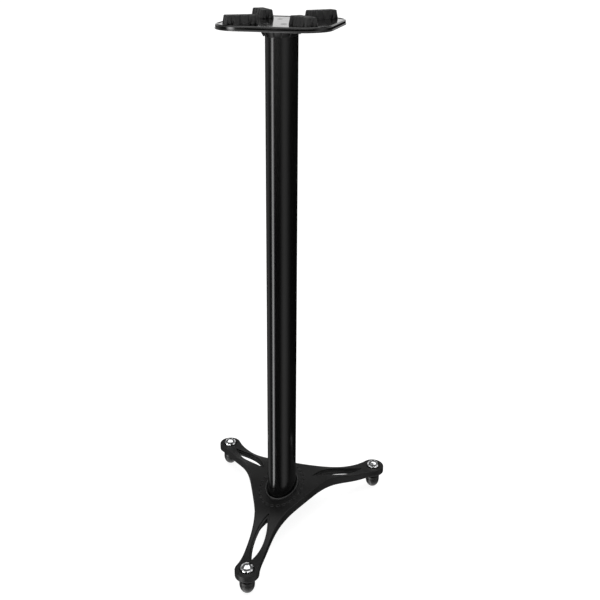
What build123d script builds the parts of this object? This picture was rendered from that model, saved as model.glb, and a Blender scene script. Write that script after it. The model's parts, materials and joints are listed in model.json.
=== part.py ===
from build123d import *
import math
import os

# A floor stand for one studio loudspeaker. All sizes are in millimetres and +Z is up.
# Everything is modelled with the column's axis at X = Y = 0 and the front arm along -Y,
# then moved along Y so that the row's origin is under the middle of the footprint.

# Base: a casting with three arms, one to the front and two to the rear corners.
front_reach = 270.0
rear_reach_x = 186.5
rear_reach_y = 172.0
boss_radius = 26.0
boss_top = 58.0
boss_height = 16.0
boss_shoulder_angle = 104.0
neck_half_width = 22.0
neck_fraction = 0.79
shoulder_half_width = 26.5
shoulder_fraction = 0.52
side_valley = 70.0
rear_valley = 98.0
hub_top = 81.0
hub_thickness = 19.0
hub_flat_radius = 90.0
slope_end_radius = 226.0
casting_edge_radius = 2.0

# Lens-shaped slot in each arm, and the shallow pocket round it.
pocket_half_width = 14.0
pocket_depth = 3.0
pocket_margin = 12.0
slot_half_width = 9.8
slot_ends = {
    "front": (121.0, 237.0),
    "rear_right": (93.5, 210.0),
    "rear_left": (93.5, 210.0),
}

# The casting is hollowed from below round each slot, which leaves a thin skin on top.
relief_half_width = 17.5
relief_margin = 8.0
skin_thickness = 8.0

# Ring of small dimples in the hub's top face, outside the collar.
dimple_count = 24
dimple_ring_x = 47.0
dimple_ring_y = 82.0
dimple_radius = 3.4
dimple_depth = 2.4

# Column: an oval extrusion with two webs, each with a port for a tie rod.
column_half_x = 30.2
column_half_y = 54.7
column_wall = 3.0
column_web = 2.5
port_y = 38.0
port_outer_radius = 7.0
port_bore_radius = 4.6
socket_depth = 17.0
socket_gap = 0.25
gasket_thickness = 1.0
gasket_width = 2.6

# Raised collar round the foot of the column.
collar_inner_gap = 2.4
collar_width = 3.6
collar_seat = 2.0
collar_height = 4.4

# Tie rods that clamp base, column and flange together.
rod_radius = 4.0
rod_clearance = 0.4
nut_across_flats = 13.0
nut_thickness = 6.5
rod_washer_radius = 9.0
rod_washer_thickness = 1.6
hub_boss_wall = 7.0
hub_boss_bottom = 50.0

# Platform.
platform_top = 1135.0
platform_half = 113.5
platform_corner = 58.0
platform_thickness = 9.0
platform_edge_radius = 3.2
rim_width = 5.0
rim_rise = 1.0

# Flange between column and platform.
flange_height = 16.0
flange_socket = 6.0
flange_flare = 11.0
flange_lip = 2.6
flange_ribs = 14
flange_rib_width = 2.4
flange_rib_rise = 1.6
flange_screw_x = 17.0
flange_screw_y = 47.0
flange_screw_radius = 3.0
flange_screw_head = 6.0
flange_screw_length = 15.0

# Rubber isolation pads, each on one screw.
pad_length = 64.0
pad_width = 29.0
pad_height = 17.0
pad_gap = 0.3
pad_side_slope = 2.6
pad_notch_width = 4.8
pad_edge_radius = 2.4
pad_notches = 3
pad_notch_tilt = 10.0
pad_circle_radius = 94.0
pad_bush_radius = 7.0
pad_bush_height = 11.0
pad_screw_radius = 3.0
pad_screw_fit = 0.05
pad_screw_head_radius = 5.5
pad_screw_head_height = 3.6
pad_washer_radius = 10.0
pad_washer_thickness = 1.0
pad_angles = {
    "front_left": (230.0, 209.0),
    "front_right": (310.0, 315.0),
    "rear_right": (50.0, 42.0),
    "rear_left": (130.0, 125.0),
}

# Levelling feet.
stud_radius = 5.0
stud_fit = 0.05
lift = 3.0
counterbore_radius = 16.2
head_radius = 15.0
head_rim = 2.0
head_dome = 10.0
head_bottom = 57.8
head_clearance = 0.4
insert_radius = 9.0
jam_nut_across_flats = 17.0
jam_nut_thickness = 5.0
foot_height = 31.5
foot_radius = 16.4
foot_shoulder = 21.0
foot_flat_radius = 4.5
foot_chamfer = 1.6
cup_radius = 8.0
cup_floor = 4.0
cup_base = 3.0
spike_cone = 8.0
spike_tip_radius = 0.8
thrust_gap = 0.3

column_y = (front_reach - rear_reach_y) / 2
rear_reach = math.hypot(rear_reach_x, rear_reach_y)
rear_angle = math.degrees(math.atan2(rear_reach_y, rear_reach_x))
arms = {
    "front": (-90.0, front_reach),
    "rear_right": (rear_angle, rear_reach),
    "rear_left": (180.0 - rear_angle, rear_reach),
}
boss_bottom = boss_top - boss_height
counterbore_floor = head_bottom - lift - head_clearance
column_bottom = hub_top - socket_depth + gasket_thickness
platform_bottom = platform_top - platform_thickness
flange_bottom = platform_bottom - flange_height
column_top = flange_bottom + flange_socket - gasket_thickness


def polar(angle, radius):
    turn = math.radians(angle)
    return radius * math.cos(turn), radius * math.sin(turn)


def along_arm(angle, distance, side):
    # A point at a distance out along an arm, and so far to its left.
    x, y = polar(angle, distance)
    across_x, across_y = polar(angle + 90, side)
    return x + across_x, y + across_y


def prism(face, bottom, top):
    return Pos(0, 0, bottom) * extrude(face, amount=top - bottom)


def oval(grow):
    return Ellipse(column_half_x + grow, column_half_y + grow)


def oval_ring(outer, inner):
    return oval(outer) - oval(inner)


def drum(radius, bottom, top, x=0.0, y=0.0):
    return Pos(x, y, bottom) * Cylinder(
        radius, top - bottom, align=(Align.CENTER, Align.CENTER, Align.MIN)
    )


def hexagon(across_flats, bottom, top):
    return prism(RegularPolygon(across_flats / 2, 6, major_radius=False), bottom, top)


def star_face():
    # The three bosses joined by three concave curves, one between each pair of arms.
    order = [arms["front"], arms["rear_right"], arms["rear_left"]]
    valleys = [side_valley, rear_valley, side_valley]
    edges = []
    for i, (angle, reach) in enumerate(order):
        next_angle, next_reach = order[(i + 1) % 3]
        turn = (next_angle - angle) % 360
        bisector = angle + turn / 2
        leave = angle + boss_shoulder_angle
        arrive = next_angle - boss_shoulder_angle
        start = along_arm(angle, reach, 0)
        end = along_arm(next_angle, next_reach, 0)
        start_x, start_y = polar(leave, boss_radius)
        end_x, end_y = polar(arrive, boss_radius)
        first = (start[0] + start_x, start[1] + start_y)
        last = (end[0] + end_x, end[1] + end_y)
        path = [
            first,
            along_arm(angle, reach * neck_fraction, neck_half_width),
            along_arm(angle, reach * shoulder_fraction, shoulder_half_width),
            polar(bisector, valleys[i]),
            along_arm(next_angle, next_reach * shoulder_fraction, -shoulder_half_width),
            along_arm(next_angle, next_reach * neck_fraction, -neck_half_width),
            last,
        ]
        edges.append(Spline(*path, tangents=[polar(leave + 90, 1), polar(arrive + 90, 1)]))
        tip = along_arm(next_angle, next_reach + boss_radius, 0)
        away = along_arm(next_angle, next_reach, 0)
        off_x, off_y = polar(next_angle + boss_shoulder_angle, boss_radius)
        edges.append(ThreePointArc(last, tip, (away[0] + off_x, away[1] + off_y)))
    return make_face(edges)


def casting_profile(top_drop, depth):
    # The arms' section in height, turned about the column's axis: flat over the hub, then
    # falling to the bosses in a gentle S.
    top = hub_top - top_drop
    low_top = boss_top - top_drop
    outer = front_reach + 2 * boss_radius
    hub_bottom = top - depth if depth else 0.0
    low_bottom = low_top - boss_height if depth else 0.0
    with BuildSketch(Plane.XZ) as section:
        with BuildLine():
            Polyline((0, hub_bottom), (0, top), (hub_flat_radius, top))
            Spline(
                (hub_flat_radius, top), (slope_end_radius, low_top), tangents=[(1, 0), (1, 0)]
            )
            Polyline((slope_end_radius, low_top), (outer, low_top), (outer, low_bottom))
            Line((outer, low_bottom), (slope_end_radius, low_bottom))
            Spline(
                (slope_end_radius, low_bottom),
                (hub_flat_radius - depth, hub_bottom),
                tangents=[(-1, 0), (-1, 0)],
            )
            Line((hub_flat_radius - depth, hub_bottom), (0, hub_bottom))
        make_face()
    return revolve(section.sketch, Axis.Z)


def lens(start, end, half_width):
    middle = (start + end) / 2
    upper = ThreePointArc((start, 0), (middle, half_width), (end, 0))
    lower = ThreePointArc((end, 0), (middle, -half_width), (start, 0))
    return make_face([upper, lower])


def make_base_casting():
    body = prism(star_face(), 0, hub_top + 10) & casting_profile(0, hub_thickness)
    rim = body.edges().filter_by(lambda e: e.center().Z > boss_top - 0.5 and e.length > 40)
    body = fillet(rim, casting_edge_radius)
    body += prism(oval(hub_boss_wall), hub_boss_bottom, hub_top - 2)
    floor = casting_profile(pocket_depth, hub_thickness)
    ceiling = casting_profile(skin_thickness, 0)
    for name, (angle, _) in arms.items():
        start, end = slot_ends[name]
        pocket = lens(start - pocket_margin, end + pocket_margin, pocket_half_width)
        relief = lens(start - relief_margin, end + relief_margin, relief_half_width)
        body -= Rot(0, 0, angle) * (prism(pocket, 0, hub_top + 10) - floor)
        body -= Rot(0, 0, angle) * (prism(relief, 0, hub_top + 10) & ceiling)
        body -= Rot(0, 0, angle) * prism(lens(start, end, slot_half_width), 0, hub_top + 10)
    body -= prism(oval(socket_gap), hub_top - socket_depth, hub_top + 10)
    body -= prism(
        oval_ring(collar_inner_gap + collar_width, 0), hub_top - collar_seat, hub_top + 10
    )
    counterbore_top = hub_boss_bottom + rod_washer_thickness + nut_thickness
    for side in (-1, 1):
        body -= drum(rod_radius + rod_clearance, 0, hub_top, y=side * port_y)
        body -= drum(rod_washer_radius + 1, 0, counterbore_top, y=side * port_y)
    ring = Ellipse(dimple_ring_x, dimple_ring_y).edge()
    ball_height = hub_top + dimple_radius - dimple_depth
    for i in range(dimple_count):
        spot = ring @ (i / dimple_count)
        body -= Pos(spot.X, spot.Y, ball_height) * Sphere(dimple_radius)
    for angle, reach in arms.values():
        x, y = polar(angle, reach)
        body -= drum(counterbore_radius, counterbore_floor, boss_top + 5, x, y)
        body -= drum(insert_radius, 0, counterbore_floor + 1, x, y)
    return body


def make_collar():
    ring = prism(
        oval_ring(collar_inner_gap + collar_width, collar_inner_gap),
        hub_top - collar_seat,
        hub_top + collar_height,
    )
    crest = ring.faces().sort_by(Axis.Z)[-1].edges()
    return fillet(crest, collar_width * 0.4)


def make_gasket(bottom):
    return prism(oval_ring(0, -gasket_width), bottom, bottom + gasket_thickness)


def make_column():
    section = oval_ring(0, -column_wall)
    inside = oval(-column_wall / 2)
    for side in (-1, 1):
        section += Pos(0, side * port_y) * Rectangle(2 * column_half_x, column_web) & inside
        section += Pos(0, side * port_y) * Circle(port_outer_radius)
    for side in (-1, 1):
        section -= Pos(0, side * port_y) * Circle(port_bore_radius)
    return prism(section, column_bottom, column_top)


def make_tie_rods():
    rod_top = platform_bottom - 2.0
    return [drum(rod_radius, hub_boss_bottom - 2, rod_top, y=s * port_y) for s in (-1, 1)]


def make_tie_rod_washers():
    top = hub_boss_bottom + rod_washer_thickness + nut_thickness
    washer = drum(rod_washer_radius, top - rod_washer_thickness, top)
    washer -= drum(rod_radius + 0.2, 0, top + 1)
    return [Pos(0, s * port_y) * washer for s in (-1, 1)]


def make_tie_rod_nuts():
    nut = hexagon(nut_across_flats, hub_boss_bottom, hub_boss_bottom + nut_thickness)
    nut -= drum(rod_radius, 0, hub_top)
    return [Pos(0, s * port_y) * nut for s in (-1, 1)]


def make_flange():
    low = Pos(0, 0, flange_bottom) * oval(flange_lip)
    high = Pos(0, 0, platform_bottom) * oval(flange_flare)
    body = loft([low, high])
    inner_low = Pos(0, 0, flange_bottom) * oval(flange_lip - flange_rib_rise)
    inner_high = Pos(0, 0, platform_bottom) * oval(flange_flare - flange_rib_rise)
    groove = body - loft([inner_low, inner_high])
    for i in range(flange_ribs // 2):
        rib = Box(4 * column_half_y, flange_rib_width, 4 * flange_height)
        groove -= Pos(0, 0, flange_bottom) * Rot(0, 0, (i + 0.5) * 360 / flange_ribs) * rib
    body -= groove
    body -= prism(oval(socket_gap), flange_bottom - 1, flange_bottom + flange_socket)
    for side in (-1, 1):
        body -= drum(rod_radius + 0.1, flange_bottom, platform_bottom - 1.8, y=side * port_y)
    for x in (-flange_screw_x, flange_screw_x):
        for y in (-flange_screw_y, flange_screw_y):
            body -= drum(flange_screw_radius, 0, platform_top, x, y)
    return body


def countersunk(head_radius_now, shank_length):
    # A countersunk screw's outer shape, with its head flush with the platform.
    head = Pos(0, 0, platform_top) * Cone(
        flange_screw_radius,
        head_radius_now,
        head_radius_now - flange_screw_radius,
        align=(Align.CENTER, Align.CENTER, Align.MAX),
    )
    return head + drum(flange_screw_radius, platform_top - shank_length, platform_top - 1)


def make_flange_screws():
    screw = countersunk(flange_screw_head, flange_screw_length)
    screw -= hexagon(4.0, platform_top - 2.2, platform_top + 1)
    return [
        Pos(x, y) * screw
        for x in (-flange_screw_x, flange_screw_x)
        for y in (-flange_screw_y, flange_screw_y)
    ]


def make_platform():
    outline = RectangleRounded(2 * platform_half, 2 * platform_half, platform_corner)
    body = prism(outline, platform_bottom, platform_top + rim_rise)
    faces = body.faces().sort_by(Axis.Z)
    body = fillet(faces[0].edges() + faces[-1].edges(), platform_edge_radius)
    inner = 2 * (platform_half - rim_width)
    tray = RectangleRounded(inner, inner, platform_corner - rim_width)
    body -= prism(tray, platform_top, platform_top + 2 * rim_rise)
    head = countersunk(flange_screw_head, platform_thickness + 2)
    for x in (-flange_screw_x, flange_screw_x):
        for y in (-flange_screw_y, flange_screw_y):
            body -= Pos(x, y) * head
    for seat, _ in pad_angles.values():
        x, y = polar(seat, pad_circle_radius)
        body -= drum(pad_screw_radius + 0.1, 0, platform_top + 5, x, y)
    return body


def make_pad(seat, heading):
    # A block with sloping flanks, notched like a tyre's tread, and a hole for its bush.
    bottom = platform_top + pad_gap
    low = Pos(0, 0, bottom) * RectangleRounded(pad_length, pad_width, 5.0)
    high = Pos(0, 0, bottom + pad_height) * RectangleRounded(
        pad_length - 2 * pad_side_slope, pad_width - 2 * pad_side_slope, 4.0
    )
    body = loft([low, high])
    body = fillet(body.faces().sort_by(Axis.Z)[-1].edges(), pad_edge_radius)
    pitch = pad_length / (pad_notches + 1)
    notch = Rot(0, 0, 45) * Box(pad_notch_width, pad_notch_width, 3 * pad_height)
    for i in range(pad_notches):
        along = (i - (pad_notches - 1) / 2) * pitch
        for side in (-1, 1):
            body -= Pos(along, side * pad_width / 2, bottom) * Rot(side * pad_notch_tilt, 0, 0) * notch
    for end in (-1, 1):
        body -= Pos(end * pad_length / 2, 0, bottom) * Rot(0, -end * pad_notch_tilt, 0) * notch
    body -= drum(pad_bush_radius, bottom - 1, bottom + pad_bush_height)
    body -= drum(pad_washer_radius + 0.6, bottom - 1, platform_top + pad_washer_thickness + 0.4)
    x, y = polar(seat, pad_circle_radius)
    return Pos(x, y) * Rot(0, 0, heading) * body


def make_pad_bush(seat):
    x, y = polar(seat, pad_circle_radius)
    bottom = platform_top + pad_washer_thickness + 0.4
    top = platform_top + pad_gap + pad_bush_height
    bush = drum(pad_bush_radius, bottom, top, x, y)
    return bush - drum(pad_screw_radius + pad_screw_fit, 0, top - 1.5, x, y)


def make_pad_screws():
    top = platform_top + pad_gap + pad_bush_height - 2.0
    screw = drum(pad_screw_radius, platform_bottom - 1, top)
    screw += drum(pad_screw_head_radius, platform_bottom - pad_screw_head_height, platform_bottom)
    screw -= hexagon(4.0, 0, platform_bottom - pad_screw_head_height + 2.2)
    return [Pos(*polar(seat, pad_circle_radius)) * screw for seat, _ in pad_angles.values()]


def make_pad_washers():
    washer = drum(pad_washer_radius, platform_top, platform_top + pad_washer_thickness)
    washer -= drum(pad_screw_radius + 0.2, 0, platform_top + 5)
    return [Pos(*polar(seat, pad_circle_radius)) * washer for seat, _ in pad_angles.values()]


def make_boss_inserts():
    insert = drum(insert_radius, boss_bottom, counterbore_floor)
    insert -= drum(stud_radius + stud_fit, 0, boss_top)
    return [Pos(*polar(*arm)) * insert for arm in arms.values()]


def make_jam_nuts():
    nut = hexagon(jam_nut_across_flats, boss_bottom - jam_nut_thickness, boss_bottom)
    nut -= drum(stud_radius + stud_fit, 0, boss_top)
    return [Pos(*polar(*arm)) * nut for arm in arms.values()]


def make_level_stud():
    cone_top = cup_floor + cup_base + thrust_gap + spike_cone
    cone = Pos(0, 0, cone_top) * Cone(
        spike_tip_radius, stud_radius, spike_cone, align=(Align.CENTER, Align.CENTER, Align.MAX)
    )
    return drum(stud_radius, cone_top, head_bottom) + cone


def make_level_head():
    base = head_bottom + head_rim
    with BuildSketch(Plane.XZ) as section:
        with BuildLine():
            Polyline((0, base + head_dome), (0, head_bottom), (head_radius, head_bottom))
            Line((head_radius, head_bottom), (head_radius, base))
            Spline(
                (head_radius, base), (0, base + head_dome), tangents=[(-0.25, 1), (-1, 0)]
            )
        make_face()
    return revolve(section.sketch, Axis.Z)


def make_foot_cup():
    cup = drum(cup_radius, cup_floor, foot_height)
    cone_bottom = cup_floor + cup_base
    gap_radius = stud_radius + stud_fit
    cup -= drum(gap_radius, cone_bottom + spike_cone, foot_height + 1)
    cup -= Pos(0, 0, cone_bottom) * Cone(
        spike_tip_radius + thrust_gap, gap_radius, spike_cone, align=(Align.CENTER, Align.CENTER, Align.MIN)
    )
    return cup


def make_foot():
    with BuildSketch(Plane.XZ) as section:
        with BuildLine():
            Polyline(
                (cup_radius, cup_floor),
                (cup_radius, foot_height),
                (foot_radius - foot_chamfer, foot_height),
                (foot_radius, foot_height - foot_chamfer),
                (foot_radius, foot_shoulder),
            )
            Spline(
                (foot_radius, foot_shoulder), (foot_flat_radius, 0), tangents=[(0, -1), (-1, -0.35)]
            )
            Polyline((foot_flat_radius, 0), (0, 0), (0, cup_floor), (cup_radius, cup_floor))
        make_face()
    return revolve(section.sketch, Axis.Z)


def write(node, shape):
    # Every node is moved so that the row's origin is under the middle of the footprint.
    solids = shape if isinstance(shape, list) else [shape]
    moved = [Pos(0, column_y, 0) * solid for solid in solids]
    whole = moved[0] if len(moved) == 1 else Compound(children=moved)
    export_step(whole, f"parts/{node}.step")


def main():
    os.makedirs("parts", exist_ok=True)
    write("base_casting", make_base_casting())
    write("socket_collar", make_collar())
    write("lower_gasket", make_gasket(column_bottom - gasket_thickness))
    write("column", make_column())
    write("upper_gasket", make_gasket(column_top))
    write("tie_rods", make_tie_rods())
    write("tie_rod_washers", make_tie_rod_washers())
    write("tie_rod_nuts", make_tie_rod_nuts())
    write("top_flange", make_flange())
    write("flange_screws", make_flange_screws())
    write("platform", make_platform())
    write("pad_screws", make_pad_screws())
    write("pad_washers", make_pad_washers())
    for name, (seat, heading) in pad_angles.items():
        write(f"pad_{name}", make_pad(seat, heading))
        write(f"pad_bush_{name}", make_pad_bush(seat))
    write("boss_inserts", make_boss_inserts())
    write("jam_nuts", make_jam_nuts())
    for name, arm in arms.items():
        place = Pos(*polar(*arm))
        write(f"level_stud_{name}", place * make_level_stud())
        write(f"level_head_{name}", place * make_level_head())
        write(f"foot_cup_{name}", place * make_foot_cup())
        write(f"rubber_foot_{name}", place * make_foot())


main()
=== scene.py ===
import json
import math

import bmesh
import bpy
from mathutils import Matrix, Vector

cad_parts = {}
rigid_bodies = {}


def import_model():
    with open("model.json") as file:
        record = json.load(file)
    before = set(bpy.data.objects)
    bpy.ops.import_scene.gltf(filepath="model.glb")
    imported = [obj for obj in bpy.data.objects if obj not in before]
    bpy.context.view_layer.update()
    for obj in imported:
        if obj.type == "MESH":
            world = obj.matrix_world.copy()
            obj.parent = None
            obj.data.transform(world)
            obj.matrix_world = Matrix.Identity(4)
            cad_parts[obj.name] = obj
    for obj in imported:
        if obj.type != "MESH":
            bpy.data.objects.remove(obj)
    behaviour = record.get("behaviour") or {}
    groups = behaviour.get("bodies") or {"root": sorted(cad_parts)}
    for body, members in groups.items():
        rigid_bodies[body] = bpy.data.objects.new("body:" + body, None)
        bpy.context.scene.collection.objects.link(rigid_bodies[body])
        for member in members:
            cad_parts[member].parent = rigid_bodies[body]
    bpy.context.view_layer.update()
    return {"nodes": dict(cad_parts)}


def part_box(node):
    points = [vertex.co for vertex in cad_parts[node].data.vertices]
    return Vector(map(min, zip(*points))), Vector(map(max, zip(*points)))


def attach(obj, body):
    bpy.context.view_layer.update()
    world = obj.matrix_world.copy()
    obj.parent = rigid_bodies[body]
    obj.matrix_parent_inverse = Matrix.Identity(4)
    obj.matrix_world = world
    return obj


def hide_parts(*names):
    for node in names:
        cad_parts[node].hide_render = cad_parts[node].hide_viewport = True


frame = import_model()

nodes = frame["nodes"]
mm = 0.001


def centreOf(name):
    low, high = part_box(name)
    return (Vector(low) + Vector(high)) / 2


axis = centreOf("column")  # the column stands on this line
footNames = ["front", "rear_right", "rear_left"]

cameraSettings = {
    "distance": 1.7184,  # along the floor, from the column's axis
    "height": 1.2965,
    "turn": 0.2722,  # to the right of the front arm
    "tilt": 0.3642,
    "lens": 52.05,
    "shift": (0.0302, -0.0633),
    "reach": 120,
}


def placeCamera(s):
    data = bpy.data.cameras.new("camera")
    data.lens = s["lens"]
    data.shift_x, data.shift_y = s["shift"]
    data.clip_end = s["reach"]
    camera = bpy.data.objects.new("camera", data)
    across, back = math.sin(s["turn"]), math.cos(s["turn"])
    camera.location = (
        axis.x + s["distance"] * across, axis.y - s["distance"] * back, s["height"]
    )
    camera.rotation_euler = (math.pi / 2 - s["tilt"], 0, s["turn"])
    bpy.context.scene.collection.objects.link(camera)
    bpy.context.scene.camera = camera


placeCamera(cameraSettings)
print("camera set")


def emptyTree(owner):
    owner.use_nodes = True
    owner.node_tree.nodes.clear()
    return owner.node_tree


def addNode(tree, kind, inputs=None, **settings):
    node = tree.nodes.new(kind)
    for name, value in settings.items():
        setattr(node, name, value)
    for socket, value in (inputs or {}).items():
        if isinstance(value, bpy.types.NodeSocket):
            tree.links.new(value, node.inputs[socket])
        else:
            node.inputs[socket].default_value = value
    return node


def maths(tree, operation, *values):
    return addNode(tree, "ShaderNodeMath", dict(enumerate(values)), operation=operation).outputs[0]


def rangeOf(tree, value, fromLow, fromHigh, toLow, toHigh, shape="SMOOTHSTEP"):
    inputs = {0: value, 1: fromLow, 2: fromHigh, 3: toLow, 4: toHigh}
    return addNode(tree, "ShaderNodeMapRange", inputs, interpolation_type=shape).outputs[0]


studioSettings = {
    "background": 1.0,
    "dark": 0.0,  # below the horizon, between the panels
    "horizon": 0.95,
    "sky": 0.1,
    "skyFade": 0.42,  # height at which the sky has faded, as a sine
    "zenith": 1.5,
    "zenithFrom": (0.76, 0.84),
    # a long low strip on the camera's side: compass angle, half width, top, brightness
    "strip": (-95, 70, 0.22, 2.2),
    # tall panels below the horizon: compass angle, half width, brightness
    "panels": [(-131, 22, 5.6), (-2, 40, 0.42), (158, 42, 0.2)],
    "underglow": (-0.92, -0.74, 1.5),  # from straight below up to this height, as sines
    "overhead": {"power": 24.0, "size": 3.2, "place": (0, 0, 3.6), "aim": (0, 0, 0)},
    "fill": {"power": 5.0, "size": 2.0, "place": (-2.2, -2.2, 1.6), "aim": (0, 0, 0.5)},
    "floorReach": 40,
    "floorColour": 0.3,
    "floorGlow": 0.9,
}


def makeWorld(s):
    world = bpy.data.worlds.new("studio")
    bpy.context.scene.world = world
    tree = emptyTree(world)
    place = addNode(tree, "ShaderNodeTexCoord")
    split = addNode(tree, "ShaderNodeSeparateXYZ", {0: place.outputs["Generated"]})
    east, north, up = split.outputs
    compass = maths(tree, "MULTIPLY", maths(tree, "ARCTAN2", north, east), 180 / math.pi)
    glow = s["dark"]
    for angle, halfWidth, brightness in s["panels"]:
        away = maths(tree, "WRAP", maths(tree, "SUBTRACT", compass, angle), 180.0, -180.0)
        near = maths(tree, "DIVIDE", maths(tree, "ABSOLUTE", away), halfWidth)
        glow = maths(tree, "ADD", rangeOf(tree, near, 0.0, 1.0, brightness, 0.0), glow)
    lowest, highest, brightness = s["underglow"]
    glow = maths(tree, "ADD", glow, rangeOf(tree, up, lowest, highest, brightness, 0.0))
    sky = rangeOf(tree, up, 0.0, s["skyFade"], s["horizon"], s["sky"])
    sky = maths(tree, "ADD", sky, rangeOf(tree, up, *s["zenithFrom"], 0.0, s["zenith"]))
    angle, halfWidth, top, brightness = s["strip"]
    away = maths(tree, "WRAP", maths(tree, "SUBTRACT", compass, angle), 180.0, -180.0)
    near = maths(tree, "DIVIDE", maths(tree, "ABSOLUTE", away), halfWidth)
    glint = maths(
        tree, "MULTIPLY", rangeOf(tree, near, 0.6, 1.0, brightness, 0.0),
        rangeOf(tree, up, top * 0.5, top, 1.0, 0.0),
    )
    sky = maths(tree, "ADD", sky, glint)
    above = maths(tree, "GREATER_THAN", up, 0.0)
    light = addNode(tree, "ShaderNodeMix", {0: above, 2: glow, 3: sky})
    ray = addNode(tree, "ShaderNodeLightPath")
    seen = {0: ray.outputs["Is Camera Ray"], 2: light.outputs[0], 3: s["background"]}
    strength = addNode(tree, "ShaderNodeMix", seen).outputs[0]
    shine = addNode(tree, "ShaderNodeBackground", {"Color": (1, 1, 1, 1), "Strength": strength})
    addNode(tree, "ShaderNodeOutputWorld", {"Surface": shine.outputs[0]})


def addSoftbox(name, s):
    data = bpy.data.lights.new(name, "AREA")
    data.energy = s["power"]
    data.size = s["size"]
    light = bpy.data.objects.new(name, data)
    light.location = s["place"]
    aim = Vector(s["aim"]) - Vector(s["place"])
    light.rotation_euler = aim.to_track_quat("-Z", "Y").to_euler()
    light.visible_glossy = False
    light.visible_camera = False
    bpy.context.scene.collection.objects.link(light)


def makeFloor(s):
    reach = s["floorReach"]
    corners = [(-reach, -reach, 0), (reach, -reach, 0), (reach, reach, 0), (-reach, reach, 0)]
    mesh = bpy.data.meshes.new("floor")
    mesh.from_pydata(corners, [], [(0, 1, 2, 3)])
    floor = bpy.data.objects.new("floor", mesh)
    bpy.context.scene.collection.objects.link(floor)
    floor.visible_glossy = False
    paper = bpy.data.materials.new("palePaper")
    tree = emptyTree(paper)
    tone = s["floorColour"]
    matt = addNode(tree, "ShaderNodeBsdfDiffuse", {"Color": (tone, tone, tone, 1)})
    glow = addNode(tree, "ShaderNodeEmission", {"Strength": s["floorGlow"]})
    both = addNode(tree, "ShaderNodeAddShader", {0: matt.outputs[0], 1: glow.outputs[0]})
    addNode(tree, "ShaderNodeOutputMaterial", {"Surface": both.outputs[0]})
    mesh.materials.append(paper)


makeWorld(studioSettings)
addSoftbox("overhead", studioSettings["overhead"])
addSoftbox("fill", studioSettings["fill"])
makeFloor(studioSettings)
bpy.context.scene.view_settings.view_transform = "Standard"
bpy.context.scene.view_settings.look = "None"
print("studio lit")


def makeFinish(name, s):
    # A surface with a grain in its height, a slower drift in its gloss, and a colour that
    # varies a little between its two tones.
    material = bpy.data.materials.new(name)
    tree = emptyTree(material)
    place = addNode(tree, "ShaderNodeTexCoord").outputs["Object"]
    if "stretch" in s:
        place = addNode(tree, "ShaderNodeMapping", {0: place, 3: s["stretch"]}).outputs[0]
    drift = addNode(tree, "ShaderNodeTexNoise", {0: place, "Scale": s["driftScale"], "Detail": 4.0})
    grain = addNode(tree, "ShaderNodeTexNoise", {0: place, "Scale": s["grainScale"], "Detail": 3.0})
    height = grain.outputs[0]
    bumped = {"Height": height, "Strength": s["grainDepth"], "Distance": s["grainSize"]}
    normal = addNode(tree, "ShaderNodeBump", bumped).outputs[0]
    tones = {0: rangeOf(tree, drift.outputs[0], 0.35, 0.65, 0.0, 1.0), 6: s["dark"], 7: s["light"]}
    colour = addNode(tree, "ShaderNodeMix", tones, data_type="RGBA").outputs[2]
    if "dust" in s:
        facing = addNode(tree, "ShaderNodeNewGeometry").outputs["Normal"]
        upwards = addNode(tree, "ShaderNodeSeparateXYZ", {0: facing}).outputs[2]
        settled = maths(tree, "MULTIPLY", rangeOf(tree, upwards, 0.5, 1.0, 0.0, s["dust"]), height)
        layers = {0: settled, 6: colour, 7: (0.35, 0.34, 0.32, 1)}
        colour = addNode(tree, "ShaderNodeMix", layers, data_type="RGBA").outputs[2]
    low, high = s["roughness"]
    shader = addNode(tree, "ShaderNodeBsdfPrincipled", {
        "Base Color": colour,
        "Metallic": s.get("metallic", 0.0),
        "Roughness": rangeOf(tree, drift.outputs[0], 0.3, 0.7, low, high),
        "IOR": s.get("ior", 1.5),
        "Coat Weight": s.get("coat", 0.0),
        "Coat Roughness": s.get("coatRoughness", 0.05),
        "Normal": normal,
    })
    addNode(tree, "ShaderNodeOutputMaterial", {"Surface": shader.outputs[0]})
    return material


def grey(value, warmth=0.0):
    return (value * (1 + warmth), value, value * (1 - warmth), 1)


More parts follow.
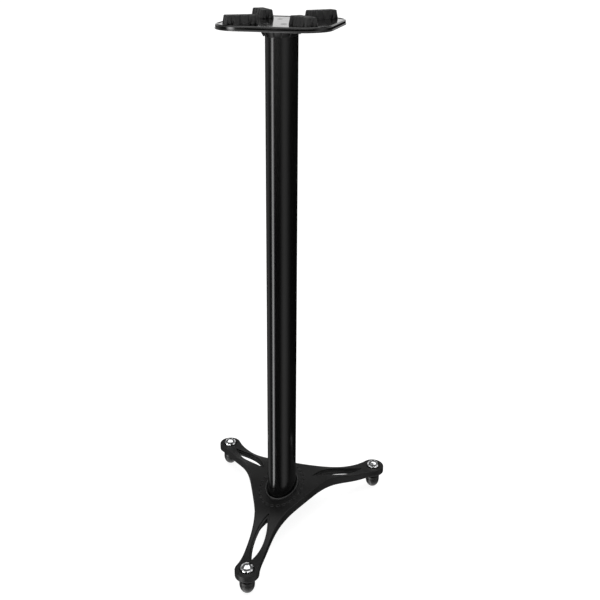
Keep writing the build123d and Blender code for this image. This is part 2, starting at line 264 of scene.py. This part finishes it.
finishSettings = {
    "castBlack": {
        "dark": grey(0.004), "light": grey(0.007), "roughness": (0.38, 0.48), "dust": 0.01,
        "ior": 1.38,
        "driftScale": 14, "grainScale": 1400, "grainDepth": 0.22, "grainSize": 0.0004,
    },
    # A lighter black for the collar and the dimple rims. Its raised base colour is a painted
    # highlight that makes these rims read lighter than the casting; the lower roughness gives real
    # glints.
    "rimBlackPaintedHighlight": {
        "dark": grey(0.022), "light": grey(0.032), "roughness": (0.2, 0.28),
        "driftScale": 20, "grainScale": 1600, "grainDepth": 0.12, "grainSize": 0.0003,
    },
    "columnBlack": {
        "dark": grey(0.002), "light": grey(0.0035), "roughness": (0.20, 0.26),
        "stretch": (1, 1, 0.12), "coat": 0.25, "coatRoughness": 0.12,
        "driftScale": 18, "grainScale": 900, "grainDepth": 0.05, "grainSize": 0.0004,
    },
    "platformGloss": {
        "dark": grey(0.004), "light": grey(0.007), "roughness": (0.07, 0.13), "dust": 0.01,
        "coat": 0.4, "coatRoughness": 0.05,
        "driftScale": 22, "grainScale": 700, "grainDepth": 0.03, "grainSize": 0.0003,
    },
    "padRubber": {
        "dark": grey(0.010), "light": grey(0.020), "roughness": (0.5, 0.66), "dust": 0.03,
        "driftScale": 60, "grainScale": 1800, "grainDepth": 0.35, "grainSize": 0.0004,
    },
    "footRubber": {
        "dark": grey(0.005), "light": grey(0.009), "roughness": (0.42, 0.56),
        "driftScale": 70, "grainScale": 1700, "grainDepth": 0.25, "grainSize": 0.0003,
    },
    "gasketRubber": {
        "dark": grey(0.012), "light": grey(0.02), "roughness": (0.7, 0.85),
        "driftScale": 60, "grainScale": 1500, "grainDepth": 0.3, "grainSize": 0.0003,
    },
    "brightChrome": {
        "dark": grey(0.74, -0.01), "light": grey(0.82, -0.01), "roughness": (0.05, 0.11),
        "metallic": 1.0,
        "driftScale": 120, "grainScale": 2600, "grainDepth": 0.02, "grainSize": 0.0001,
    },
    "zincSteel": {
        "dark": grey(0.40, -0.02), "light": grey(0.58, 0.02), "roughness": (0.28, 0.44),
        "metallic": 1.0,
        "driftScale": 160, "grainScale": 2400, "grainDepth": 0.12, "grainSize": 0.0002,
    },
    "blackOxide": {
        "dark": grey(0.03), "light": grey(0.06), "roughness": (0.34, 0.5),
        "metallic": 0.9,
        "driftScale": 160, "grainScale": 2400, "grainDepth": 0.1, "grainSize": 0.0002,
    },
    "turnedBrass": {
        "dark": (0.60, 0.43, 0.18, 1), "light": (0.76, 0.57, 0.27, 1), "roughness": (0.22, 0.36),
        "metallic": 1.0,
        "driftScale": 90, "grainScale": 2000, "grainDepth": 0.08, "grainSize": 0.0002,
    },
    "blackNylon": {
        "dark": grey(0.014), "light": grey(0.022), "roughness": (0.4, 0.5),
        "driftScale": 90, "grainScale": 1800, "grainDepth": 0.1, "grainSize": 0.0002,
    },
}
finishes = {name: makeFinish(name, s) for name, s in finishSettings.items()}
print("finishes mixed")


def newPiece(name, mesh, finish, body, replaced):
    piece = bpy.data.objects.new(name, mesh)
    bpy.context.scene.collection.objects.link(piece)
    mesh.materials.clear()
    mesh.materials.append(finishes[finish])
    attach(piece, body)
    if replaced:
        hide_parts(*replaced)
    return piece


def tidyMesh(mesh, sharpAngle):
    # Merged points, outward faces, and smooth shading between sharp edges.
    work = bmesh.new()
    work.from_mesh(mesh)
    bmesh.ops.remove_doubles(work, verts=work.verts, dist=0.004 * mm)
    bmesh.ops.recalc_face_normals(work, faces=work.faces)
    work.to_mesh(mesh)
    work.free()
    mesh.shade_smooth()
    mesh.set_sharp_from_angle(angle=math.radians(sharpAngle))
    return mesh


def ringMesh(name, rings, closed=False, sharpAngle=35.0):
    # A skin through a list of rings. It closes on itself, or has a cap at each end.
    count = len(rings[0])
    points = [point for ring in rings for point in ring]
    faces = []
    for i in range(len(rings) if closed else len(rings) - 1):
        low, high = i * count, (i + 1) % len(rings) * count
        for j in range(count):
            k = (j + 1) % count
            faces.append((low + j, low + k, high + k, high + j))
    if not closed:
        last = (len(rings) - 1) * count
        faces += [tuple(range(count))[::-1], tuple(range(last, last + count))]
    mesh = bpy.data.meshes.new(name)
    mesh.from_pydata(points, [], faces)
    return tidyMesh(mesh, sharpAngle)


def roundRing(centre, radius, height, count):
    turns = [2 * math.pi * i / count for i in range(count)]
    return [
        (centre.x + radius * math.cos(t), centre.y + radius * math.sin(t), height) for t in turns
    ]


def ovalRing(halfX, halfY, height, count):
    turns = [2 * math.pi * i / count for i in range(count)]
    return [
        (axis.x + halfX * math.cos(t), axis.y + halfY * math.sin(t), height) for t in turns
    ]


def arcPoints(centre, radius, start, end, count):
    # Points of a quarter round or any other arc, as (across, up).
    turns = [math.radians(start + (end - start) * i / count) for i in range(count + 1)]
    return [(centre[0] + radius * math.cos(t), centre[1] + radius * math.sin(t)) for t in turns]


def curvePoints(first, pullFirst, pullLast, last, count):
    points = []
    for i in range(count + 1):
        t = i / count
        weights = ((1 - t) ** 3, 3 * t * (1 - t) ** 2, 3 * t * t * (1 - t), t ** 3)
        sources = (first, pullFirst, pullLast, last)
        points.append(tuple(sum(w * p[a] for w, p in zip(weights, sources)) for a in (0, 1)))
    return points


columnSettings = {"halfX": 30.2 * mm, "halfY": 54.7 * mm, "wall": 3.0 * mm, "sides": 288}


def makeColumn(s):
    low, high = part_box("column")
    x, y, wall = s["halfX"], s["halfY"], s["wall"]
    levels = [low.z + (high.z - low.z) * i / 12 for i in range(13)]
    outside = [ovalRing(x, y, z, s["sides"]) for z in levels]
    inside = [ovalRing(x - wall, y - wall, z, s["sides"]) for z in reversed(levels)]
    mesh = ringMesh("columnShell", outside + inside, closed=True)
    newPiece("columnShell", mesh, "columnBlack", "stand", ["column"])


makeColumn(columnSettings)
print("column drawn")


collarSettings = {
    "gap": 2.4 * mm, "width": 3.6 * mm, "crest": 1.7 * mm, "halfX": 30.2 * mm, "halfY": 54.7 * mm,
    "sides": 240,
}


def makeCollar(s):
    low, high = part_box("socket_collar")
    inner, outer, crest = s["gap"], s["gap"] + s["width"], s["crest"]
    profile = [(outer, low.z)]
    profile += arcPoints((outer - crest, high.z - crest), crest, 0, 90, 8)
    profile += arcPoints((inner + crest, high.z - crest), crest, 90, 180, 8)
    profile += [(inner, low.z)]
    rings = [ovalRing(s["halfX"] + g, s["halfY"] + g, z, s["sides"]) for g, z in profile]
    mesh = ringMesh("socketRing", rings, closed=True)
    # The collar takes the lighter black, whose colour is a painted highlight on its raised rim.
    newPiece("socketRing", mesh, "rimBlackPaintedHighlight", "stand", ["socket_collar"])


makeCollar(collarSettings)


def cadCopy(node, name):
    # A CAD node's mesh, free to be merged and softened.
    mesh = nodes[node].data.copy()
    mesh.name = name
    return mesh


def levelShading(piece):
    weighted = piece.modifiers.new("shading", "WEIGHTED_NORMAL")
    weighted.keep_sharp = True


def softenEdges(piece, width, segments, angle):
    bevel = piece.modifiers.new("edges", "BEVEL")
    bevel.width = width
    bevel.segments = segments
    bevel.limit_method = "ANGLE"
    bevel.angle_limit = math.radians(angle)
    bevel.use_clamp_overlap = False
    bevel.harden_normals = False
    levelShading(piece)


castingSettings = {"edge": 0.45 * mm, "edgeSteps": 2, "edgeAngle": 38}


def makeCasting(s):
    mesh = tidyMesh(cadCopy("base_casting", "armCasting"), 70)
    piece = newPiece("armCasting", mesh, "castBlack", "stand", ["base_casting"])
    softenEdges(piece, s["edge"], s["edgeSteps"], s["edgeAngle"])


makeCasting(castingSettings)
print("casting drawn")


platformSettings = {
    "half": 113.5 * mm, "corner": 58.0 * mm, "rim": 5.0 * mm, "rise": 1.0 * mm,
    "bead": 1.7 * mm, "step": 1.1 * mm, "roll": 2.6 * mm,
    "cornerSteps": 24, "sideSteps": 4,
    "screwX": 17.0 * mm, "screwY": 47.0 * mm, "screwShank": 3.0 * mm, "screwHead": 6.0 * mm,
}


def squareRing(half, corner, height, s):
    points = []
    flat = half - corner
    for quarter in range(4):
        start = math.pi / 2 * quarter
        cx = flat * (1 if quarter in (0, 3) else -1)
        cy = flat * (1 if quarter in (0, 1) else -1)
        for i in range(s["cornerSteps"] + 1):
            t = start + math.pi / 2 * i / s["cornerSteps"]
            points.append((cx + corner * math.cos(t), cy + corner * math.sin(t)))
    ring = []
    for i, point in enumerate(points):
        ring.append(point)
        if (i + 1) % (s["cornerSteps"] + 1) == 0:
            following = points[(i + 1) % len(points)]
            for k in range(1, s["sideSteps"]):
                share = k / s["sideSteps"]
                ring.append(tuple(a + (b - a) * share for a, b in zip(point, following)))
    return [(axis.x + x, axis.y + y, height) for x, y in ring]


def makePlatform(s):
    low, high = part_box("platform")
    bead, step, roll = s["bead"], s["step"], s["roll"]
    profile = [(bead + 1.5 * mm, low.z + 0.4 * mm), (bead + 0.6 * mm, low.z)]
    profile += arcPoints((bead, low.z + bead), bead, 270, 140, 10)
    profile += [(step, low.z + 1.9 * bead), (step, low.z + 2.0 * bead)]
    profile += arcPoints((step + roll, high.z - roll), roll, 180, 90, 10)
    profile += arcPoints((s["rim"] - 0.3 * mm, high.z - 0.3 * mm), 0.3 * mm, 90, 0, 4)
    profile += [(s["rim"], high.z - s["rise"])]
    rings = [squareRing(s["half"] - d, s["corner"] - d, z, s) for d, z in profile]
    mesh = ringMesh("topPlatform", rings)
    piece = newPiece("topPlatform", mesh, "platformGloss", "stand", ["platform"])
    return piece


platform = makePlatform(platformSettings)


def drillPlatform(piece, s):
    # Countersinks for the flange screws and plain holes for the pad screws.
    low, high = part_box("platform")
    top = high.z - s["rise"]
    shank, head = s["screwShank"] + 0.05 * mm, s["screwHead"] + 0.05 * mm
    cuts = []
    for x in (-s["screwX"], s["screwX"]):
        for y in (-s["screwY"], s["screwY"]):
            spot = Vector((axis.x + x, axis.y + y, 0))
            sink = [(shank, low.z - mm), (shank, top - (head - shank))]
            sink += [(head, top), (head, top + mm)]
            cuts.append([roundRing(spot, r, z, 48) for r, z in sink])
    for name in ("front_left", "front_right", "rear_right", "rear_left"):
        spot = centreOf("pad_bush_" + name)
        bore = s["screwShank"] + 0.1 * mm
        cuts.append([roundRing(spot, bore, z, 48) for z in (low.z - mm, top + mm)])
    for rings in cuts:
        cutter = bpy.data.objects.new("cutter", ringMesh("cutter", rings))
        bpy.context.scene.collection.objects.link(cutter)
        drill = piece.modifiers.new("drill", "BOOLEAN")
        drill.operation = "DIFFERENCE"
        drill.solver = "EXACT"
        drill.object = cutter
    bpy.context.view_layer.update()
    graph = bpy.context.evaluated_depsgraph_get()
    drilled = bpy.data.meshes.new_from_object(piece.evaluated_get(graph))
    piece.modifiers.clear()
    piece.data = tidyMesh(drilled, 35)
    for spare in [o for o in bpy.data.objects if o.name.startswith("cutter")]:
        bpy.data.objects.remove(spare)


drillPlatform(platform, platformSettings)
print("platform drawn")


def nodeGroup(name, sizes):
    # A Geometry Nodes group with one named number for each size, and its maker's handles.
    tree = bpy.data.node_groups.new(name, "GeometryNodeTree")
    tree.interface.new_socket("Geometry", in_out="OUTPUT", socket_type="NodeSocketGeometry")
    sockets = {}
    for label, value in sizes.items():
        kind = "NodeSocketInt" if isinstance(value, int) else "NodeSocketFloat"
        socket = tree.interface.new_socket(label, in_out="INPUT", socket_type=kind)
        sockets[label] = socket.identifier
    socket = tree.interface.new_socket(
        "Finish", in_out="INPUT", socket_type="NodeSocketMaterial"
    )
    sockets["Finish"] = socket.identifier
    return tree, addNode(tree, "NodeGroupInput"), sockets


def runGroup(name, tree, sockets, sizes, finish):
    # The group's result as a plain mesh.
    carrier = bpy.data.objects.new(name, bpy.data.meshes.new(name))
    bpy.context.scene.collection.objects.link(carrier)
    maker = carrier.modifiers.new(name, "NODES")
    maker.node_group = tree
    for label, value in sizes.items():
        maker[sockets[label]] = value
    maker[sockets["Finish"]] = finishes[finish]
    bpy.context.view_layer.update()
    graph = bpy.context.evaluated_depsgraph_get()
    made = bpy.data.meshes.new_from_object(carrier.evaluated_get(graph))
    carrier.modifiers.clear()
    bpy.data.objects.remove(carrier)
    made.name = name
    return made


def ovalOfPoints(tree, given, halfX, halfY, height, count, shift):
    # Points round an oval, and the outward direction at each of them.
    circle = addNode(
        tree, "GeometryNodeMeshCircle", {"Vertices": given.outputs[count], "Radius": 1.0}
    )
    turned = addNode(tree, "GeometryNodeTransform", {
        "Geometry": circle.outputs[0],
        "Rotation": addNode(tree, "ShaderNodeCombineXYZ", {2: given.outputs[shift]}).outputs[0],
    })
    at = addNode(tree, "GeometryNodeInputPosition").outputs[0]
    reach = addNode(
        tree, "ShaderNodeCombineXYZ", {0: given.outputs[halfX], 1: given.outputs[halfY]}
    )
    spread = addNode(
        tree, "ShaderNodeVectorMath", {0: at, 1: reach.outputs[0]}, operation="MULTIPLY"
    )
    lift = addNode(
        tree, "ShaderNodeCombineXYZ", {0: axis.x, 1: axis.y, 2: given.outputs[height]}
    )
    placed = addNode(
        tree, "ShaderNodeVectorMath", {0: spread.outputs[0], 1: lift.outputs[0]}, operation="ADD"
    )
    outward = addNode(
        tree, "ShaderNodeVectorMath", {0: at, 1: reach.outputs[0]}, operation="DIVIDE"
    )
    kept = addNode(tree, "GeometryNodeCaptureAttribute", {"Geometry": turned.outputs[0]})
    kept.capture_items.new("VECTOR", "outward")
    tree.links.new(outward.outputs[0], kept.inputs["outward"])
    moved = addNode(
        tree, "GeometryNodeSetPosition",
        {"Geometry": kept.outputs[0], "Position": placed.outputs[0]},
    )
    facing = addNode(
        tree, "FunctionNodeAlignRotationToVector", {"Vector": kept.outputs["outward"]}, axis="X"
    )
    return moved.outputs[0], facing.outputs[0]


def finishGroup(tree, given, points, facing, thing):
    placed = addNode(
        tree, "GeometryNodeInstanceOnPoints",
        {"Points": points, "Instance": thing, "Rotation": facing},
    )
    real = addNode(tree, "GeometryNodeRealizeInstances", {0: placed.outputs[0]})
    painted = addNode(
        tree, "GeometryNodeSetMaterial",
        {"Geometry": real.outputs[0], "Material": given.outputs["Finish"]},
    )
    addNode(tree, "NodeGroupOutput", {0: painted.outputs[0]})


flangeSettings = {
    "halfX": 30.2 * mm, "halfY": 54.7 * mm, "lip": 1.0 * mm, "flare": 9.4 * mm, "gap": 0.25 * mm,
    "socket": 6.0 * mm, "sides": 200,
}
ribSizes = {
    "Half X": 37.2 * mm, "Half Y": 61.7 * mm, "Height": 1118.2 * mm, "Count": 14, "Turn": 0.2244,
    "Reach": 4.2 * mm, "Rise": 7.4 * mm, "Thickness": 1.3 * mm,
}


def ribGroup(sizes):
    tree, given, sockets = nodeGroup("flangeRibs", sizes)
    points, facing = ovalOfPoints(tree, given, "Half X", "Half Y", "Height", "Count", "Turn")
    out, up = given.outputs["Reach"], given.outputs["Rise"]
    low = addNode(tree, "ShaderNodeCombineXYZ", {
        0: maths(tree, "MULTIPLY", out, -1.0), 2: maths(tree, "MULTIPLY", up, -1.0)
    })
    high = addNode(tree, "ShaderNodeCombineXYZ", {0: out, 2: up})
    line = addNode(
        tree, "GeometryNodeCurvePrimitiveLine", {"Start": low.outputs[0], "End": high.outputs[0]}
    )
    section = addNode(
        tree, "GeometryNodeCurvePrimitiveCircle",
        {"Resolution": 12, "Radius": given.outputs["Thickness"]},
    )
    rod = addNode(tree, "GeometryNodeCurveToMesh", {
        "Curve": line.outputs[0], "Profile Curve": section.outputs[0], "Fill Caps": True
    })
    finishGroup(tree, given, points, facing, rod.outputs[0])
    return tree, sockets


def makeFlange(s):
    low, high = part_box("top_flange")
    profile = [(s["gap"], low.z), (s["lip"] - 0.4 * mm, low.z), (s["lip"], low.z + 0.5 * mm)]
    profile += curvePoints(
        (s["lip"], low.z + 0.8 * mm), (s["lip"] + 1.6 * mm, low.z + 6 * mm),
        (s["flare"] - 2.2 * mm, high.z - 5 * mm), (s["flare"], high.z - 0.6 * mm), 14,
    )
    profile += [(s["flare"], high.z)]
    socket = low.z + s["socket"]
    rings = [ovalRing(s["halfX"] + s["gap"], s["halfY"] + s["gap"], socket, s["sides"])]
    rings += [ovalRing(s["halfX"] + g, s["halfY"] + g, z, s["sides"]) for g, z in profile]
    mesh = ringMesh("flangeCone", rings, sharpAngle=40)
    newPiece("flangeCone", mesh, "castBlack", "stand", ["top_flange"])
    tree, sockets = ribGroup(ribSizes)
    ribs = tidyMesh(runGroup("flangeRibs", tree, sockets, ribSizes, "castBlack"), 40)
    newPiece("flangeRibs", ribs, "castBlack", "stand", [])


makeFlange(flangeSettings)
print("flange drawn")


rimSizes = {
    "Half X": 47.0 * mm, "Half Y": 82.0 * mm, "Height": 81.0 * mm, "Count": 24, "Turn": 0.0,
    "Mouth": 3.5 * mm, "Thickness": 0.55 * mm,
}


def makeDimpleRims(sizes):
    # A fine raised lip round each dimple in the hub, in the lighter black whose colour is a painted
    # highlight on the dimple's rim.
    tree, given, sockets = nodeGroup("dimpleRims", sizes)
    points, facing = ovalOfPoints(tree, given, "Half X", "Half Y", "Height", "Count", "Turn")
    mouth = addNode(
        tree, "GeometryNodeCurvePrimitiveCircle",
        {"Resolution": 28, "Radius": given.outputs["Mouth"]},
    )
    section = addNode(
        tree, "GeometryNodeCurvePrimitiveCircle",
        {"Resolution": 8, "Radius": given.outputs["Thickness"]},
    )
    lip = addNode(
        tree, "GeometryNodeCurveToMesh",
        {"Curve": mouth.outputs[0], "Profile Curve": section.outputs[0]},
    )
    finishGroup(tree, given, points, facing, lip.outputs[0])
    rims = tidyMesh(runGroup("dimpleRims", tree, sockets, sizes, "rimBlackPaintedHighlight"), 60)
    newPiece("dimpleRims", rims, "rimBlackPaintedHighlight", "stand", [])


makeDimpleRims(rimSizes)
print("dimple rims set")


headSettings = {
    # the cut dome's rings, from the seat upwards: radius, height, points, turn
    "rings": [
        (15.0, 0.0, 16, 0.0), (15.0, 2.0, 16, 0.0), (13.8, 5.2, 12, 0.5),
        (11.4, 8.2, 10, 0.0), (8.0, 10.4, 8, 0.5), (4.0, 11.7, 6, 0.0),
    ],
    "top": 12.0, "flatness": 0.5, "edge": 0.18 * mm, "edgeSteps": 2, "edgeAngle": 4,
}


def makeHead(name, s):
    low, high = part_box("level_head_" + name)
    centre = centreOf("level_head_" + name)
    work = bmesh.new()
    for radius, height, count, turn in s["rings"]:
        for i in range(count):
            t = 2 * math.pi * (i + turn) / count
            work.verts.new((
                centre.x + radius * mm * math.cos(t),
                centre.y + radius * mm * math.sin(t),
                low.z + height * mm,
            ))
    work.verts.new((centre.x, centre.y, low.z + s["top"] * mm))
    bmesh.ops.convex_hull(work, input=work.verts)
    flatness = math.radians(s["flatness"])
    bmesh.ops.dissolve_limit(work, angle_limit=flatness, verts=work.verts, edges=work.edges)
    bmesh.ops.recalc_face_normals(work, faces=work.faces)
    mesh = bpy.data.meshes.new("cutHead_" + name)
    work.to_mesh(mesh)
    work.free()
    piece = newPiece(
        "cutHead_" + name, mesh, "brightChrome", "level_screw_" + name,
        ["level_head_" + name],
    )
    softenEdges(piece, s["edge"], s["edgeSteps"], s["edgeAngle"])


for name in footNames:
    makeHead(name, headSettings)
print("screw heads cut")


footSettings = {
    "radius": 16.4, "flat": 4.5, "shoulder": 21.0, "height": 31.5, "chamfer": 1.6,
    "bore": 8.0, "floor": 4.0, "sides": 96,
}


def makeFoot(name, s):
    centre = centreOf("rubber_foot_" + name)
    r, top, shoulder = s["radius"], s["height"], s["shoulder"]
    profile = [(0.0, 0.0), (s["flat"] - 0.6, 0.0)]
    profile += curvePoints(
        (s["flat"], 0.15), (s["flat"] + 6.2, 2.6), (r, shoulder - 11), (r, shoulder), 22
    )
    profile += [(r, shoulder + 1.4)]
    profile += [(r - 0.7, shoulder + 1.9), (r - 0.7, shoulder + 2.7), (r, shoulder + 3.2)]
    profile += arcPoints((r - s["chamfer"], top - s["chamfer"]), s["chamfer"], 0, 90, 6)
    profile += [(s["bore"], top), (s["bore"], s["floor"]), (0.0, s["floor"])]
    rings = [roundRing(centre, radius * mm, z * mm, s["sides"]) for radius, z in profile]
    mesh = ringMesh("softFoot_" + name, rings)
    newPiece(
        "softFoot_" + name, mesh, "footRubber", "foot_" + name,
        ["rubber_foot_" + name],
    )


for name in footNames:
    makeFoot(name, footSettings)
print("feet turned")


threadSettings = {
    "radius": 5.0, "pitch": 1.5, "depth": 0.75, "tip": 0.8, "runout": 12.0, "sides": 40, "steps": 5,
}


def makeStud(name, s):
    low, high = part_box("level_stud_" + name)
    centre = centreOf("level_stud_" + name)
    rise = s["pitch"] * mm / s["steps"]
    start = low.z + s["runout"] * mm
    levels = int((high.z - start) / rise)
    rings = [roundRing(centre, s["tip"] * mm, low.z, s["sides"])]
    for i in range(levels + 1):
        z = start + i * (high.z - start) / levels
        ring = []
        for j in range(s["sides"]):
            t = j / s["sides"]
            phase = ((z - low.z) / (s["pitch"] * mm) - t) % 1.0
            r = (s["radius"] - s["depth"] * (1 - abs(2 * phase - 1))) * mm
            turn = 2 * math.pi * t
            ring.append((centre.x + r * math.cos(turn), centre.y + r * math.sin(turn), z))
        rings.append(ring)
    mesh = ringMesh("threadedStud_" + name, rings, sharpAngle=50)
    newPiece(
        "threadedStud_" + name, mesh, "zincSteel", "level_screw_" + name,
        ["level_stud_" + name],
    )


for name in footNames:
    makeStud(name, threadSettings)
print("studs threaded")


def makePad(name):
    mesh = tidyMesh(cadCopy("pad_" + name, "treadPad_" + name), 35)
    piece = newPiece(
        "treadPad_" + name, mesh, "padRubber", "pad_" + name, ["pad_" + name]
    )
    levelShading(piece)


for name in ("front_left", "front_right", "rear_right", "rear_left"):
    makePad(name)
print("pads drawn")


# The smaller hardware keeps its own shape and takes a finish.
hardware = {
    "lower_gasket": "gasketRubber", "upper_gasket": "gasketRubber", "tie_rods": "zincSteel",
    "tie_rod_washers": "zincSteel", "tie_rod_nuts": "zincSteel", "flange_screws": "blackOxide",
    "pad_screws": "blackOxide", "pad_washers": "blackNylon", "boss_inserts": "turnedBrass",
    "jam_nuts": "blackOxide", "pad_bush": "zincSteel", "foot_cup": "zincSteel",
}
for name, node in nodes.items():
    for kind, finish in hardware.items():
        if name.startswith(kind):
            node.data.materials.clear()
            node.data.materials.append(finishes[finish])
print("hardware finished")
